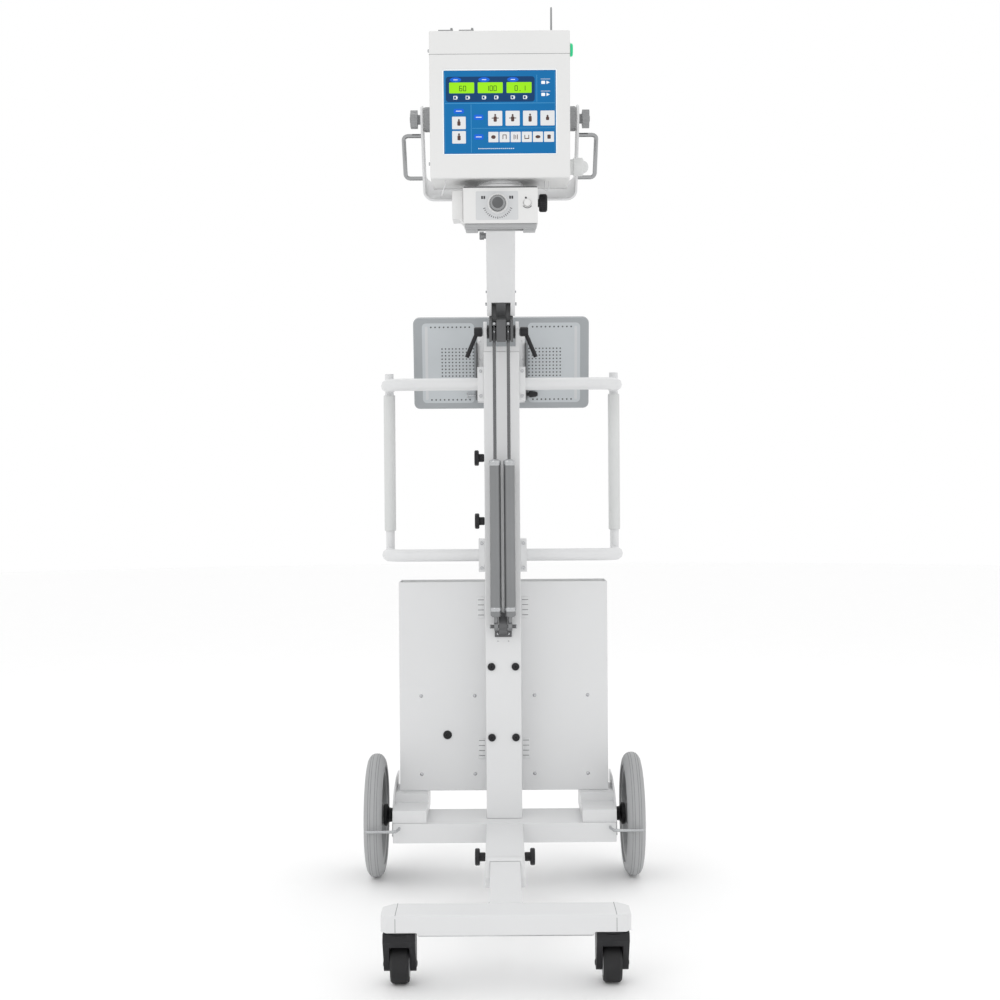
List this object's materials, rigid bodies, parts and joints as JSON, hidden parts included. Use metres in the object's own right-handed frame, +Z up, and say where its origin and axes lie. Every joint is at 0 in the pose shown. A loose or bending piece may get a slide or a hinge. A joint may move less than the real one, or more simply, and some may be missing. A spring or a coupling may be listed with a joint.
{
  "type": "mobile x-ray unit",
  "caption": "Wheeled column stand whose sprung arm holds an x-ray generator head with touch screen and collimator in a swivelling yoke, with monitor, side handles and detector bin.",
  "frame": {"origin": "on the floor under the middle of the stand's bounding box, at rest", "axes": "+Z up, -Y towards the front bar and the screen of the head, +X to the right when facing the unit's front"},
  "size_m": [0.694, 1.0078, 1.993],
  "materials": {
    "white_paint": "semi-gloss white powder coat",
    "white_housing": "fine-textured white housing",
    "grey_plastic": "satin grey",
    "grip_plastic": "matte light grey",
    "black_plastic": "satin black",
    "dark_casting": "dark grey paint",
    "spring_steel": "satin dark grey",
    "chrome": "bright chrome",
    "grey_rubber": "matt grey non-marking rubber",
    "black_rubber": "matt black rubber",
    "touch_screen": "lit blue touch screen",
    "monitor_glass": "dark glossy screen",
    "green_light": "green-lit lens",
    "tank_metal": "plain metal"
  },
  "bodies": {
    "stand": {"centre_beam": "white_paint", "rear_crossbar": "white_paint", "column": "white_paint", "hinge_clevis": "white_paint", "hinge_shaft": "spring_steel", "spring_foot": "dark_casting", "gas_cylinder_left": "spring_steel", "gas_cylinder_right": "spring_steel", "axle_block_left": "white_paint", "axle_block_right": "white_paint", "side_handle_left": "white_paint", "side_handle_right": "white_paint", "handle_grip_left": "grip_plastic", "handle_grip_right": "grip_plastic", "monitor_bracket": "white_paint", "detector_bin": "white_paint"},
    "front_frame": {"front_leg": "white_paint", "front_bar": "white_paint"},
    "wheel_left": {"tyre_left": "grey_rubber", "rim_left": "grey_plastic"},
    "wheel_right": {"tyre_right": "grey_rubber", "rim_right": "grey_plastic"},
    "fork_left": {"caster_fork_left": "black_plastic"},
    "fork_right": {"caster_fork_right": "black_plastic"},
    "roller_left": {"caster_wheel_left": "black_rubber"},
    "roller_right": {"caster_wheel_right": "black_rubber"},
    "leg_screw_left": {"leg_knob_left": "black_plastic"},
    "leg_screw_right": {"leg_knob_right": "black_plastic"},
    "column_screw_upper": {"column_knob_upper": "black_plastic"},
    "column_screw_lower": {"column_knob_lower": "black_plastic"},
    "lever_left": {"clamp_lever_left": "black_plastic"},
    "lever_right": {"clamp_lever_right": "black_plastic"},
    "arm_body": {"arm_bracket": "dark_casting", "arm": "white_paint"},
    "plunger": {"arm_plunger": "spring_steel"},
    "rod_left": {"gas_rod_left": "chrome"},
    "rod_right": {"gas_rod_right": "chrome"},
    "yoke_body": {"yoke": "white_paint", "yoke_handle_left": "chrome", "yoke_handle_right": "chrome"},
    "tilt_screw_left": {"tilt_knob_left": "grey_plastic"},
    "tilt_screw_right": {"tilt_knob_right": "grey_plastic"},
    "head": {"head_cover": "white_housing", "head_housing": "white_housing", "touch_screen": "touch_screen", "xray_tank": "tank_metal", "collar": "chrome", "collimator": "white_housing", "lamp_housing": "white_housing", "side_plug": "grip_plastic", "antenna": "grey_plastic"},
    "dial": {"front_dial": "grey_plastic"},
    "shutter_knob": {"side_knob": "black_plastic"},
    "lamp_switch": {"lamp_button": "white_housing"},
    "power_switch": {"power_button": "green_light"},
    "monitor": {"monitor_mount": "dark_casting", "monitor_back": "white_housing", "monitor_frame": "grey_plastic", "monitor_glass": "monitor_glass"}
  },
  "joints": [
    {"name": "leg_slide", "type": "slide", "parent": "stand", "child": "front_frame", "axis": [0, 1, 0], "range_m": [0, 0.08]},
    {"name": "wheel_roll_left", "type": "hinge", "parent": "stand", "child": "wheel_left", "pos_m": [-0.315, 0.33214, 0.15], "axis": [1, 0, 0], "continuous": true},
    {"name": "caster_swivel_left", "type": "hinge", "parent": "front_frame", "child": "fork_left", "pos_m": [-0.2055, -0.46136, 0.1117], "axis": [0, 0, 1], "continuous": true},
    {"name": "caster_roll_left", "type": "hinge", "parent": "fork_left", "child": "roller_left", "pos_m": [-0.2055, -0.44936, 0.0375], "axis": [1, 0, 0], "continuous": true},
    {"name": "leg_knob_turn_left", "type": "hinge", "parent": "stand", "child": "leg_screw_left", "pos_m": [-0.055, -0.00386, 0.13], "axis": [1, 0, 0], "range_deg": [-180, 180]},
    {"name": "clamp_lever_turn_left", "type": "hinge", "parent": "stand", "child": "lever_left", "pos_m": [-0.056, 0.29614, 1.336], "axis": [1, 0, 0], "range_deg": [-45, 90]},
    {"name": "gas_rod_stroke_left", "type": "slide", "parent": "stand", "child": "rod_left", "axis": [0, 0, 1], "range_m": [-0.045, 0.04]},
    {"name": "tilt_knob_turn_left", "type": "hinge", "parent": "yoke_body", "child": "tilt_screw_left", "pos_m": [-0.185, -0.06318, 1.76422], "axis": [1, 0, 0], "range_deg": [-180, 180]},
    {"name": "wheel_roll_right", "type": "hinge", "parent": "stand", "child": "wheel_right", "pos_m": [0.315, 0.33214, 0.15], "axis": [1, 0, 0], "continuous": true},
    {"name": "caster_swivel_right", "type": "hinge", "parent": "front_frame", "child": "fork_right", "pos_m": [0.2055, -0.46136, 0.1117], "axis": [0, 0, 1], "continuous": true},
    {"name": "caster_roll_right", "type": "hinge", "parent": "fork_right", "child": "roller_right", "pos_m": [0.2055, -0.44936, 0.0375], "axis": [1, 0, 0], "continuous": true},
    {"name": "leg_knob_turn_right", "type": "hinge", "parent": "stand", "child": "leg_screw_right", "pos_m": [0.055, -0.00386, 0.13], "axis": [1, 0, 0], "range_deg": [-180, 180]},
    {"name": "clamp_lever_turn_right", "type": "hinge", "parent": "stand", "child": "lever_right", "pos_m": [0.056, 0.29614, 1.336], "axis": [1, 0, 0], "range_deg": [-45, 90]},
    {"name": "gas_rod_stroke_right", "type": "slide", "parent": "stand", "child": "rod_right", "axis": [0, 0, 1], "range_m": [-0.045, 0.04]},
    {"name": "tilt_knob_turn_right", "type": "hinge", "parent": "yoke_body", "child": "tilt_screw_right", "pos_m": [0.185, -0.06318, 1.76422], "axis": [1, 0, 0], "range_deg": [-180, 180]},
    {"name": "column_knob_turn_upper", "type": "hinge", "parent": "stand", "child": "column_screw_upper", "pos_m": [-0.055, 0.30114, 1.029], "axis": [1, 0, 0], "range_deg": [-180, 180]},
    {"name": "column_knob_turn_lower", "type": "hinge", "parent": "stand", "child": "column_screw_lower", "pos_m": [-0.055, 0.30114, 0.875], "axis": [1, 0, 0], "range_deg": [-180, 180]},
    {"name": "arm_pitch", "type": "hinge", "parent": "stand", "child": "arm_body", "pos_m": [0, 0.29614, 1.336], "axis": [1, 0, 0], "range_deg": [-30, 35]},
    {"name": "plunger_pull", "type": "slide", "parent": "arm_body", "child": "plunger", "axis": [-1, 0, 0], "range_m": [0, 0.006], "stiffness_N_per_m": 600},
    {"name": "yoke_swivel", "type": "hinge", "parent": "arm_body", "child": "yoke_body", "pos_m": [0, 0.05895, 1.61867], "axis": [0, -0.6428, 0.766], "range_deg": [-90, 90]},
    {"name": "head_tilt", "type": "hinge", "parent": "yoke_body", "child": "head", "pos_m": [0, -0.06318, 1.76422], "axis": [1, 0, 0], "range_deg": [-90, 5]},
    {"name": "dial_turn", "type": "hinge", "parent": "head", "child": "dial", "pos_m": [-0.006, -0.13394, 1.5677], "axis": [0, -0.9976, -0.0698], "range_deg": [-120, 120]},
    {"name": "shutter_knob_turn", "type": "hinge", "parent": "head", "child": "shutter_knob", "pos_m": [0.09, -0.08019, 1.57748], "axis": [1, 0, 0], "range_deg": [-120, 120]},
    {"name": "lamp_press", "type": "slide", "parent": "head", "child": "lamp_switch", "axis": [0, 0.9976, 0.0698], "range_m": [0, 0.0025], "stiffness_N_per_m": 800},
    {"name": "power_press", "type": "slide", "parent": "head", "child": "power_switch", "axis": [-1, 0, 0], "range_m": [0, 0.004], "stiffness_N_per_m": 800},
    {"name": "monitor_tilt", "type": "hinge", "parent": "stand", "child": "monitor", "pos_m": [0, 0.42914, 1.26], "axis": [1, 0, 0], "range_deg": [-15, 20]}
  ],
  "couplings": [
    {"joint": "gas_rod_stroke_left", "follows": "arm_pitch", "m_per_rad": -0.0645},
    {"joint": "gas_rod_stroke_right", "follows": "arm_pitch", "m_per_rad": -0.0645}
  ]
}
